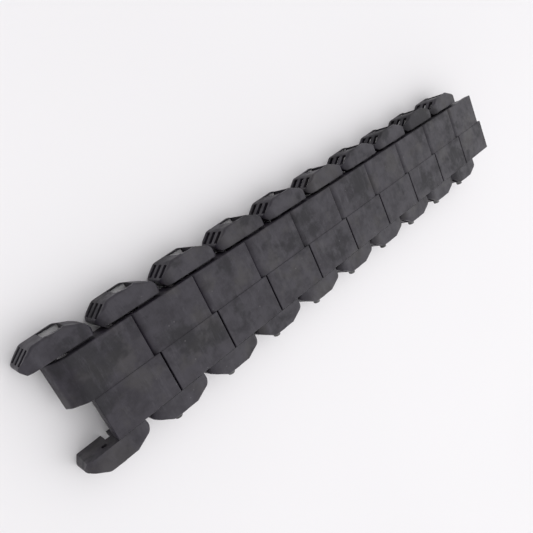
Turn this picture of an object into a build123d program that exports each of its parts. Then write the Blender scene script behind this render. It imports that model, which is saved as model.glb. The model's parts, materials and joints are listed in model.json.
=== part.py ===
from build123d import *
import math
import os

# A straight length of moulded crawler track: ten identical links joined by cross pins.
# Frame: +X runs along the track from the open fork to the last knuckle, +Y is the left
# side, +Z points up out of the smooth tread plates.  The origin is at the bottom centre
# of the whole length.  Units are millimetres.  Each link is drawn with x measured from
# the square near edge of its plate and z from the surface the track lies on.

# Track
LINKS = 10
PITCH = 24.0
TREAD_Z = 13.5                 # top of the square-ended plate halves
PLATE_T = 2.4
PLATE_HALF_W = 15.1
SEAM_GAP = 0.5                 # between the square edges of neighbouring plates
HALF_STEP = 0.3                # the left half of each plate lies this much lower
EDGE_R = 0.3

# Hinge of each link in its near fork
HINGE_X = -3.4
HINGE_Z = 7.9
PIN_R = 1.0
PIN_END_Y = 18.4               # blind end, inside the left lug
HEAD_SEAT_Y = 22.9             # where the head starts, at the right lug's outer face
HEAD_R = 1.4
HEAD_L = 1.7                   # stands out of the right lug
HELD_R = 1.015                 # bores of the link that carries the pin
TURN_R = 1.06                  # bore of the knuckle that turns on the pin
KNUCKLE_R = 2.6
BOSS_R = 1.9                   # round the pin under the nose
HALF_GAP = 0.6                 # between the knuckle and the nose along the pin

# Nose on the left half: a ramp and then a steeper tip
RAMP_TOP_X = -0.8
RAMP_DROP = 4.4
TIP_X = -6.7
TIP_Z = 5.2
NOSE_T = 1.9
NOSE_BEND_R = 3.0
LIP_BACK = 1.4                 # the left half's far lip stops short of the seam by this

# Side lugs
OUTSIDE_Y = 25.0               # past the outer face of a lug
LUG_TOP_Z = 11.6
LUG_WALL = 1.4
LUG_INNER_Y = 15.95
LUG_SPLAY = 0.7                # how much further out the slotted face is at the bottom
LUG_TOP_PLAN = [               # near inner corner, then round the outside
    (-10.3, LUG_INNER_Y),
    (-12.0, 18.2),
    (-5.8, 22.7),
    (3.4, 23.1),
    (9.6, 20.3),
    (10.5, 18.0),
    (10.1, LUG_INNER_Y),
]
TIP_END_Y = 19.6               # the tips lie inside this, the shoulders outside it
TIP_R = 1.2                    # upright corners at the lug's two tips
SHOULDER_R = 2.5               # upright corners along its outside
RIM_R = 0.8
NEAR_TOP_R = 5.0
NEAR_FOOT_R = 3.0
FAR_TOP_R = 1.5
FAR_SLOPE_Z = 9.9              # below this the far end slopes back under
FAR_SLOPE_BACK = 2.4
LUG_BOSS_R = 1.9
LEFT_BOSS_Y = 19.4
SLOT_Z = (2.1, 5.6, 9.1)
SLOT_H = 1.9
SLOT_LENGTH = 4.8
WINDOW_X = (-1.9, 4.7)
WINDOW_INNER_Y = 20.9
WINDOW_Z = (0.9, 10.2)
RIM_INNER_Y = 22.4             # the thin bar left under the window
SCOOP_PLAN = [                 # eased edge of the lug's top above the window
    (-1.9, OUTSIDE_Y), (-1.9, 23.1), (-0.6, 22.6), (3.2, 22.6), (4.7, 23.1), (4.7, OUTSIDE_Y),
]
NOTCH_X = (-1.8, 0.2)
NOTCH_TOP_Z = 4.6

# Under the plates
ROOT = 0.4                     # how far webs and ribs run into the plate above them
RAIL_X = (1.5, 14.6)
RAIL_T = 1.8
RAIL_FOOT_Z = 5.0
SKIRT_T = 1.3                  # along the right half's near edge
SKIRT_FOOT_Z = 8.0
RIB_X = (8.4, 10.0)
RIB_FOOT_Z = 7.6
TENON_X = (1.9, 8.1)
TENON_Z = (5.6, 9.8)
TENON_GAP = 0.05

PLATE_UNDER_Z = TREAD_Z - PLATE_T
LEFT_TOP_Z = TREAD_Z - HALF_STEP
LEFT_UNDER_Z = LEFT_TOP_Z - PLATE_T
KNUCKLE_X = PITCH + HINGE_X
SPLAY_ANGLE = math.degrees(math.atan2(LUG_SPLAY, LUG_TOP_Z))


def box(x, y, z):
    """A box between the two limits given on each axis."""
    size = [v[1] - v[0] for v in (x, y, z)]
    middle = [(v[0] + v[1]) / 2 for v in (x, y, z)]
    return Pos(*middle) * Box(*size)


def side_prism(face, y):
    """Extrude a face drawn in (x, z) between two y values."""
    return extrude(Pos(0, y[1], 0) * (Rot(90, 0, 0) * face), amount=y[1] - y[0], dir=(0, -1, 0))


def rod(x, radius, y):
    """A round bar along Y at hinge height."""
    return side_prism(Pos(x, HINGE_Z) * Circle(radius), y)


def polygon(points):
    """A face bounded by straight lines through the points."""
    return make_face(Polyline(*points, points[0]))


def left_half():
    """Plate half with the nose at its near end and a bevelled lip at its far end."""
    lip_x = PITCH - LIP_BACK
    ramp_foot = (RAMP_TOP_X - RAMP_DROP, LEFT_TOP_Z - RAMP_DROP)
    inner_x = RAMP_TOP_X - PLATE_T + NOSE_T * math.sqrt(2)
    profile = polygon([
        (lip_x, LEFT_TOP_Z),
        (RAMP_TOP_X, LEFT_TOP_Z),
        ramp_foot,
        (TIP_X, TIP_Z),
        (TIP_X + NOSE_T, TIP_Z),
        (HINGE_X + 0.6, LEFT_UNDER_Z - (inner_x - HINGE_X - 0.6)),
        (inner_x, LEFT_UNDER_Z),
        (lip_x - PLATE_T, LEFT_UNDER_Z),
    ])
    bends = [v for v in profile.vertices()
             if abs(v.X - RAMP_TOP_X) < 0.01 or abs(v.X - ramp_foot[0]) < 0.01]
    profile = fillet(bends, NOSE_BEND_R)
    tip = [v for v in profile.vertices() if abs(v.Y - TIP_Z) < 0.01]
    lip = [v for v in profile.vertices() if abs(v.X - lip_x) < 0.01]
    profile = fillet(tip + lip, 0.5)
    half = side_prism(profile, (0, PLATE_HALF_W))
    edges = half.edges().filter_by_position(Axis.Y, PLATE_HALF_W - 0.01, PLATE_HALF_W + 0.01)
    edges = edges.filter_by_position(Axis.Z, LEFT_TOP_Z - 0.01, LEFT_TOP_Z + 0.01)
    half = fillet(edges, EDGE_R)
    return half + rod(HINGE_X, BOSS_R, (HALF_GAP / 2, PLATE_HALF_W))


def right_half():
    """Plate half with square ends and the knuckle under its far end."""
    plate = box((SEAM_GAP / 2, PITCH - SEAM_GAP / 2), (-PLATE_HALF_W, 0), (PLATE_UNDER_Z, TREAD_Z))
    plate = fillet(plate.faces().sort_by(Axis.Z)[-1].edges(), EDGE_R)
    skirt_x = (SEAM_GAP / 2, SEAM_GAP / 2 + SKIRT_T)
    plate += box(skirt_x, (-PLATE_HALF_W, -HALF_GAP), (SKIRT_FOOT_Z, PLATE_UNDER_Z + ROOT))
    web = polygon([
        (KNUCKLE_X - KNUCKLE_R - 2.0, PLATE_UNDER_Z + ROOT),
        (KNUCKLE_X - KNUCKLE_R, HINGE_Z),
        (KNUCKLE_X + KNUCKLE_R, HINGE_Z),
        (KNUCKLE_X + KNUCKLE_R, PLATE_UNDER_Z + ROOT),
    ])
    knuckle_y = (-PLATE_HALF_W + 0.3, -HALF_GAP)
    return plate + side_prism(web, knuckle_y) + rod(KNUCKLE_X, KNUCKLE_R, knuckle_y)


def underframe():
    """Side rails, a cross rib and a spine, with a tenon for each lug."""
    root_z = LEFT_UNDER_Z + ROOT
    frame = box(RIB_X, (-PLATE_HALF_W + 1, PLATE_HALF_W - 1), (RIB_FOOT_Z, root_z))
    frame += box(RAIL_X, (-RAIL_T / 2, RAIL_T / 2), (RIB_FOOT_Z, root_z))
    rail = box(RAIL_X, (PLATE_HALF_W - RAIL_T, PLATE_HALF_W), (RAIL_FOOT_Z, root_z))
    rail += box(TENON_X, (PLATE_HALF_W - 0.5, LUG_INNER_Y + LUG_WALL), TENON_Z)
    return frame + rail + mirror(rail, about=Plane.XZ)


def link_plate():
    """One link's tread plate with everything moulded under it."""
    plate = left_half() + right_half() + underframe()
    plate -= rod(HINGE_X, HELD_R, (-1, PLATE_HALF_W + 1))
    return plate - rod(KNUCKLE_X, TURN_R, (-PLATE_HALF_W - 1, 1))


def splayed_plan():
    """The lug's plan at its foot, where the slotted face stands further out."""
    near, outer, far = (Vector(*LUG_TOP_PLAN[i], 0) for i in (1, 2, 3))
    inner = Vector(*LUG_TOP_PLAN[0], 0)
    along = (outer - near).normalized()
    out = Vector(-along.Y, along.X, 0) * LUG_SPLAY
    near_run = (near - inner).normalized()
    outer_run = (far - outer).normalized()
    near = near + near_run * (LUG_SPLAY / near_run.dot(out.normalized()))
    outer = outer + outer_run * (LUG_SPLAY / outer_run.dot(out.normalized()))
    return [LUG_TOP_PLAN[0], (near.X, near.Y), (outer.X, outer.Y)] + LUG_TOP_PLAN[3:]


def slot_frame(z):
    """A location on the slotted face at height z: x along the face, y out of it."""
    near, outer = (Vector(*LUG_TOP_PLAN[i], LUG_TOP_Z) for i in (1, 2))
    middle = (near + outer) / 2
    heading = math.degrees(math.atan2(outer.Y - near.Y, outer.X - near.X))
    top = Pos(middle.X, middle.Y, LUG_TOP_Z) * Rot(0, 0, heading) * Rot(SPLAY_ANGLE, 0, 0)
    return top * Pos(0, 0, z - LUG_TOP_Z)


def beyond_face(depth):
    """Everything outside the slotted face, moved in by a depth."""
    return slot_frame(LUG_TOP_Z) * Pos(0, 10 - depth, 0) * Box(40, 20, 40)


def side_profile(foot_z):
    """The lug from the side; its near foot is rounded where it stands at z = 0."""
    near_foot = (splayed_plan()[1][0], foot_z)
    near_top = (LUG_TOP_PLAN[1][0], LUG_TOP_Z)
    far_top = (LUG_TOP_PLAN[5][0], LUG_TOP_Z)
    slope = FAR_SLOPE_BACK / FAR_SLOPE_Z
    far_foot_x = far_top[0] - (FAR_SLOPE_Z - foot_z) * slope
    side = polygon([near_foot, near_top, far_top, (far_top[0], FAR_SLOPE_Z), (far_foot_x, foot_z)])
    rounds = [(near_top, NEAR_TOP_R), (far_top, FAR_TOP_R)]
    if foot_z == 0:
        rounds.append((near_foot, NEAR_FOOT_R))
    for corner, radius in rounds:
        here = [v for v in side.vertices() if math.dist((v.X, v.Y), corner) < 0.01]
        side = fillet(here, radius)
    return side


def lug_solid():
    """The lug's outer form before hollowing."""
    solid = extrude(polygon(splayed_plan()), amount=LUG_TOP_Z) - beyond_face(0)
    uprights = [e for e in solid.edges() if abs((e @ 1).Z - (e @ 0).Z) > 1]
    tips = [e for e in uprights if LUG_INNER_Y + 1 < e.center().Y < TIP_END_Y]
    solid = fillet(tips, TIP_R)
    uprights = [e for e in solid.edges() if abs((e @ 1).Z - (e @ 0).Z) > 1]
    solid = fillet([e for e in uprights if e.center().Y > TIP_END_Y], SHOULDER_R)
    rim = solid.faces().sort_by(Axis.Z)[-1].edges()
    solid = fillet([e for e in rim if e.center().Y > LUG_INNER_Y + 0.1], RIM_R)
    return solid & side_prism(side_profile(0), (LUG_INNER_Y - 1, OUTSIDE_Y))


def lug_cavity():
    """The hollow inside the lug, one wall in from its form and open underneath."""
    plan = offset(polygon(splayed_plan()), amount=-LUG_WALL, kind=Kind.INTERSECTION)
    hollow = extrude(Pos(0, 0, -1) * plan, amount=LUG_TOP_Z + 1) - beyond_face(LUG_WALL)
    side = offset(side_profile(-4), amount=-LUG_WALL)
    return hollow & side_prism(side, (LUG_INNER_Y - 1, OUTSIDE_Y))


def lug(pin_through):
    """A left-hand lug; the pin bore is blind unless the pin goes right through."""
    form = lug_solid()
    boss = rod(HINGE_X, LUG_BOSS_R, (LUG_INNER_Y + 0.3, OUTSIDE_Y if pin_through else LEFT_BOSS_Y))
    made = form - lug_cavity() + (boss & form)
    for z in SLOT_Z:
        made -= slot_frame(z) * Box(SLOT_LENGTH, 2.6 * LUG_WALL, SLOT_H)
    made -= box(WINDOW_X, (WINDOW_INNER_Y, OUTSIDE_Y), WINDOW_Z)
    made -= box(WINDOW_X, (WINDOW_INNER_Y, RIM_INNER_Y), (-1, WINDOW_Z[1]))
    made -= extrude(Pos(0, 0, WINDOW_Z[1]) * polygon(SCOOP_PLAN), amount=LUG_TOP_Z)
    made -= box(NOTCH_X, (LUG_INNER_Y - 1, LUG_INNER_Y + LUG_WALL), (-1, NOTCH_TOP_Z))
    socket_x = (TENON_X[0] - TENON_GAP, TENON_X[1] + TENON_GAP)
    socket_z = (TENON_Z[0] - TENON_GAP, TENON_Z[1] + TENON_GAP)
    made -= box(socket_x, (LUG_INNER_Y - 1, LUG_INNER_Y + LUG_WALL + 0.3), socket_z)
    bore_end = OUTSIDE_Y if pin_through else PIN_END_Y + 0.2
    return made - rod(HINGE_X, HELD_R, (LUG_INNER_Y - 1, bore_end))


def hinge_pin():
    """A steel pin with a low round head outside the right lug."""
    shank = rod(HINGE_X, PIN_R, (-HEAD_SEAT_Y - 0.5, PIN_END_Y))
    shank = chamfer(shank.edges().filter_by(GeomType.CIRCLE).sort_by(Axis.Y)[-1], 0.2)
    head = rod(HINGE_X, HEAD_R, (-HEAD_SEAT_Y - HEAD_L, -HEAD_SEAT_Y))
    return shank + fillet(head.edges().filter_by(GeomType.CIRCLE).sort_by(Axis.Y)[0], 0.5)


def write(name, shape, link):
    """Place a piece on its link and write it out as its own node."""
    near_x = splayed_plan()[1][0]
    far_x = LINKS * PITCH - SEAM_GAP / 2
    placed = Pos(link * PITCH - (near_x + far_x) / 2, 0, 0) * shape
    placed.label = name
    export_step(placed, f"parts/{name}.step")


def main():
    os.makedirs("parts", exist_ok=True)
    plate = link_plate()
    left_lug = lug(False)
    right_lug = mirror(lug(True), about=Plane.XZ)
    pin = hinge_pin()
    for link in range(LINKS):
        number = f"{link + 1:02d}"
        write(f"link_plate_{number}", plate, link)
        write(f"lug_left_{number}", left_lug, link)
        write(f"lug_right_{number}", right_lug, link)
        if link:
            write(f"hinge_pin_{number}", pin, link)


main()
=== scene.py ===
import json
import math

import bpy
from mathutils import Matrix, Vector


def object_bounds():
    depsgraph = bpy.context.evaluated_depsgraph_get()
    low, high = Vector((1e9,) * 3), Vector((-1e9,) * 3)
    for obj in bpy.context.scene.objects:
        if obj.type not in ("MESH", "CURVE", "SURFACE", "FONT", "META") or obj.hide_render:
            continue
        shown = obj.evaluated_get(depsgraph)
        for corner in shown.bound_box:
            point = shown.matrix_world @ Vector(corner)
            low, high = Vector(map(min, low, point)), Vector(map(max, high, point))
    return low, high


# The looks of a length of black moulded crawler track lying on a pale table.
# Lengths are metres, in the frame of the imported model.

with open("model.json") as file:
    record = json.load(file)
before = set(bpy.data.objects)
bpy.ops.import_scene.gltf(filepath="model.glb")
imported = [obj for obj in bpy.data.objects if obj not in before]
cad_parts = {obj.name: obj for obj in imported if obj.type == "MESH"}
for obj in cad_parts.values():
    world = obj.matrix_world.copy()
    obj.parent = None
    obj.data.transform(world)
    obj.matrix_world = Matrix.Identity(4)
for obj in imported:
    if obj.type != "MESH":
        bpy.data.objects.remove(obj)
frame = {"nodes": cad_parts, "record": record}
cad_low, cad_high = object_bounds()

# Camera
CAMERA_PLACE = Vector((-0.1354, 0.0538, 0.1582))
CAMERA_LOOKS_AT = Vector((-0.0311, -0.0020, 0.0))
CAMERA_ROLL = math.radians(88.3)
CAMERA_LENS = 33.4             # millimetres
CAMERA_SENSOR = 36.0           # millimetres
CAMERA_NEAREST = 0.005

# Light
SOFTBOX_PLACE = Vector((1.1, -1.0, 1.6))
SOFTBOX_SIZE = 1.6
SOFTBOX_POWER = 5.4
SKY_TOWARDS = (0.66, -0.52, 0.54)  # where the surroundings are brightest
SKY_DIM = 0.48
SKY_BRIGHT = 1.25

# Table
TABLE_SIDE = 6.0
TABLE_ROUGHNESS = 0.6
TABLE_SHADE = (0.815, 0.800, 0.820, 1)
TABLE_PALE = (0.835, 0.820, 0.840, 1)

# Plastic: linear colours, then how strongly each mark shows
PLASTIC_DARK = (0.0074, 0.0046, 0.0112, 1)
PLASTIC_LIGHT = (0.0168, 0.0130, 0.0232, 1)
PLASTIC_SMUDGE = (0.0034, 0.0026, 0.0052, 1)
# Colour of dust and scuffs, and also of the painted light on the lugs
PLASTIC_DUST_AND_LIT = (0.0480, 0.0445, 0.0560, 1)
PLASTIC_BROWN = (0.0325, 0.0285, 0.0270, 1)
PLASTIC_SPECK = (0.1300, 0.1250, 0.1350, 1)
PLASTIC_WORN = (0.0600, 0.0560, 0.0650, 1)
BROWN_SHARE = 0.44
SMUDGE_SHARE = 0.70
SCUFF_SHARE = 0.40
SPECK_SHARE = 0.35
WORN_SHARE = 0.45
PLATE_FILM = 0.02
# The lugs' larger film is painted light: it lightens the lugs as if light from the right falls
# on them, beyond a little real dust
LUG_DUST_AND_LIT_FILM = 0.26
SCUFF_STRETCH = 5.0            # scuffs are this much longer across the track than along it
WORN_RADIUS = 0.0005
SOFT_EDGE_RADIUS = 0.00025
BUMP_HEIGHT = 0.0002

# Pins, linear colours
PIN_DARK = (0.06, 0.06, 0.06, 1)
PIN_PALE = (0.14, 0.14, 0.14, 1)
PIN_BUMP_HEIGHT = 0.0001


class Nodes:
    """Short calls for building the node tree of a material or world."""

    def __init__(self, owner):
        owner.use_nodes = True
        self.tree = owner.node_tree
        self.tree.nodes.clear()

    def add(self, kind, inputs=None, **settings):
        """A node with its settings and inputs; an input is a value or another node's socket."""
        node = self.tree.nodes.new(kind)
        for name, value in settings.items():
            setattr(node, name, value)
        for name, value in (inputs or {}).items():
            if isinstance(value, bpy.types.NodeSocket):
                self.tree.links.new(value, node.inputs[name])
            else:
                node.inputs[name].default_value = value
        return node

    def noise(self, place, scale, detail=3.0, roughness=0.55):
        """Fractal noise at so many cells per metre."""
        made = self.add("ShaderNodeTexNoise", {
            "Vector": place, "Scale": scale, "Detail": detail, "Roughness": roughness})
        return made.outputs["Fac"]

    def ramp(self, value, low, high, to_low=0.0, to_high=1.0):
        """Map low..high smoothly to to_low..to_high, clamped."""
        made = self.add("ShaderNodeMapRange", {
            "Value": value, "From Min": low, "From Max": high,
            "To Min": to_low, "To Max": to_high}, interpolation_type="SMOOTHSTEP")
        return made.outputs["Result"]

    def maths(self, operation, a, b=0.0):
        """One arithmetic step."""
        made = self.add("ShaderNodeMath", {0: a, 1: b}, operation=operation)
        return made.outputs["Value"]

    def mix(self, factor, a, b):
        """Mix two colours."""
        made = self.add("ShaderNodeMix", {"Factor": factor, 6: a, 7: b}, data_type="RGBA")
        return made.outputs[2]


def rounded_normal(nodes, radius):
    """The surface direction as if every edge had this radius."""
    return nodes.add("ShaderNodeBevel", {"Radius": radius}, samples=6).outputs["Normal"]


def edge_wear(nodes):
    """1 along worn outer edges, 0 elsewhere."""
    rounded = rounded_normal(nodes, WORN_RADIUS)
    flat = nodes.add("ShaderNodeNewGeometry").outputs["Normal"]
    dot = nodes.add("ShaderNodeVectorMath", {0: rounded, 1: flat}, operation="DOT_PRODUCT")
    return nodes.ramp(dot.outputs["Value"], 0.995, 0.86)


def specks(nodes, place, scale, size, share):
    """1 in small scattered dots; only a share of the cells has one."""
    cells = nodes.add("ShaderNodeTexVoronoi", {"Vector": place, "Scale": scale})
    dot = nodes.ramp(cells.outputs["Distance"], size, size * 0.5)
    pick = nodes.add("ShaderNodeSeparateColor", {"Color": cells.outputs["Color"]})
    chosen = nodes.maths("LESS_THAN", pick.outputs["Red"], share)
    return nodes.maths("MULTIPLY", dot, chosen)


def plastic(name, dust_and_lit_film):
    """Charcoal moulded plastic with scuffs, dust, smudges and brown patches.

    The film is how much pale veil lies over the whole surface: fine dust on the plates; on the
    lugs the larger film is mostly painted light, lightening them as if lit from the right.
    """
    material = bpy.data.materials.new(name)
    nodes = Nodes(material)
    place = nodes.add("ShaderNodeTexCoord").outputs["Object"]
    across = nodes.add("ShaderNodeMapping", {
        "Vector": place, "Scale": (SCUFF_STRETCH, 1.0, 1.0)}).outputs["Vector"]
    mottle = nodes.ramp(nodes.noise(place, 190, 7.0, 0.68), 0.32, 0.70)
    brown = nodes.ramp(nodes.noise(place, 75, 4.0, 0.6), 0.50, 0.66)
    smudge = nodes.ramp(nodes.noise(place, 58, 5.0, 0.62), 0.49, 0.36)
    scuff = nodes.ramp(nodes.noise(across, 95, 6.0, 0.7), 0.50, 0.72)
    dots = specks(nodes, place, 420, 0.14, 0.14)
    colour = nodes.mix(mottle, PLASTIC_DARK, PLASTIC_LIGHT)
    # The veil is fine dust, and on the lugs mostly painted light
    dust_and_lit_veil = nodes.ramp(mottle, 0.0, 1.0, dust_and_lit_film * 0.7, dust_and_lit_film)
    colour = nodes.mix(dust_and_lit_veil, colour, PLASTIC_DUST_AND_LIT)
    colour = nodes.mix(nodes.maths("MULTIPLY", brown, BROWN_SHARE), colour, PLASTIC_BROWN)
    colour = nodes.mix(nodes.maths("MULTIPLY", smudge, SMUDGE_SHARE), colour, PLASTIC_SMUDGE)
    colour = nodes.mix(nodes.maths("MULTIPLY", scuff, SCUFF_SHARE), colour, PLASTIC_DUST_AND_LIT)
    colour = nodes.mix(nodes.maths("MULTIPLY", dots, SPECK_SHARE), colour, PLASTIC_SPECK)
    wear = nodes.maths("MULTIPLY", edge_wear(nodes), WORN_SHARE)
    colour = nodes.mix(wear, colour, PLASTIC_WORN)
    rough = nodes.ramp(nodes.maths("SUBTRACT", mottle, smudge), -0.6, 1.0, 0.66, 0.44)
    grain = nodes.noise(place, 2600, 2.0)
    dents = nodes.noise(place, 260, 3.0)
    height = nodes.maths("ADD", nodes.maths("MULTIPLY", grain, 0.25), dents)
    rounded = rounded_normal(nodes, SOFT_EDGE_RADIUS)
    bump = nodes.add("ShaderNodeBump", {
        "Height": height, "Strength": 0.35, "Distance": BUMP_HEIGHT, "Normal": rounded})
    shader = nodes.add("ShaderNodeBsdfPrincipled", {
        "Base Color": colour, "Roughness": rough, "Normal": bump.outputs["Normal"],
        "Specular IOR Level": 0.48})
    nodes.add("ShaderNodeOutputMaterial", {"Surface": shader.outputs["BSDF"]})
    return material


def pin_steel():
    """Dark oiled steel with fine scratches."""
    material = bpy.data.materials.new("pin_steel_look")
    nodes = Nodes(material)
    place = nodes.add("ShaderNodeTexCoord").outputs["Object"]
    patch = nodes.ramp(nodes.noise(place, 500, 4.0), 0.35, 0.7)
    colour = nodes.mix(patch, PIN_DARK, PIN_PALE)
    rough = nodes.ramp(patch, 0.0, 1.0, 0.5, 0.35)
    scratches = nodes.noise(place, 3500, 2.0)
    bump = nodes.add("ShaderNodeBump", {
        "Height": scratches, "Strength": 0.2, "Distance": PIN_BUMP_HEIGHT})
    shader = nodes.add("ShaderNodeBsdfPrincipled", {
        "Base Color": colour, "Roughness": rough, "Normal": bump.outputs["Normal"],
        "Metallic": 0.8})
    nodes.add("ShaderNodeOutputMaterial", {"Surface": shader.outputs["BSDF"]})
    return material


def table_white():
    """A smooth white table top."""
    material = bpy.data.materials.new("table_white")
    nodes = Nodes(material)
    place = nodes.add("ShaderNodeTexCoord").outputs["Object"]
    cloud = nodes.ramp(nodes.noise(place, 4, 2.0), 0.3, 0.7)
    colour = nodes.mix(cloud, TABLE_SHADE, TABLE_PALE)
    shader = nodes.add("ShaderNodeBsdfPrincipled", {
        "Base Color": colour, "Roughness": TABLE_ROUGHNESS})
    nodes.add("ShaderNodeOutputMaterial", {"Surface": shader.outputs["BSDF"]})
    return material


def dress_cad():
    """Give every CAD node its finished material, by the first word of its name."""
    looks = {
        "link": plastic("plate_plastic_look", PLATE_FILM),
        # The lug material is a lit copy of the plate plastic: its heavier veil is painted light
        "lug": plastic("lug_plastic_lit_look", LUG_DUST_AND_LIT_FILM),
        "hinge": pin_steel(),
    }
    for part in frame["record"]["subparts"]:
        mesh = frame["nodes"][part["node"]].data
        mesh.materials.clear()
        mesh.materials.append(looks[part["node"].split("_")[0]])


def table():
    """The pale floor under the track."""
    bpy.ops.mesh.primitive_plane_add(size=TABLE_SIDE, location=(0, 0, cad_low[2]))
    floor = bpy.context.object
    floor.name = "table_top"
    floor.data.materials.append(table_white())


def softbox():
    """A square soft light aimed at the middle of the track."""
    light = bpy.data.lights.new("softbox", "AREA")
    light.size = SOFTBOX_SIZE
    light.energy = SOFTBOX_POWER
    lamp = bpy.data.objects.new("softbox", light)
    lamp.location = SOFTBOX_PLACE
    lamp.rotation_euler = (-SOFTBOX_PLACE).to_track_quat("-Z", "Y").to_euler()
    bpy.context.scene.collection.objects.link(lamp)


def sky():
    """White surroundings, brighter beyond the far end than behind the camera."""
    world = bpy.data.worlds.new("studio")
    nodes = Nodes(world)
    direction = nodes.add("ShaderNodeTexCoord").outputs["Generated"]
    towards = nodes.add("ShaderNodeVectorMath", {
        0: direction, 1: SKY_TOWARDS}, operation="DOT_PRODUCT").outputs["Value"]
    strength = nodes.ramp(towards, -1.0, 1.0, SKY_DIM, SKY_BRIGHT)
    background = nodes.add("ShaderNodeBackground", {"Strength": strength})
    background.inputs["Color"].default_value = (1.0, 1.0, 1.0, 1.0)
    nodes.add("ShaderNodeOutputWorld", {"Surface": background.outputs["Background"]})
    bpy.context.scene.world = world


def camera():
    """Close above the near end, looking along the track, with the picture rolled on its side."""
    lens = bpy.data.cameras.new("photo_view")
    lens.lens = CAMERA_LENS
    lens.sensor_width = CAMERA_SENSOR
    lens.clip_start = CAMERA_NEAREST
    eye = bpy.data.objects.new("photo_view", lens)
    level = (CAMERA_LOOKS_AT - CAMERA_PLACE).to_track_quat("-Z", "Y").to_matrix()
    eye.rotation_euler = (level @ Matrix.Rotation(CAMERA_ROLL, 3, "Z")).to_euler()
    eye.location = CAMERA_PLACE
    bpy.context.scene.collection.objects.link(eye)
    bpy.context.scene.camera = eye


dress_cad()
table()
softbox()
sky()
camera()
bpy.context.scene.view_settings.view_transform = "Standard"
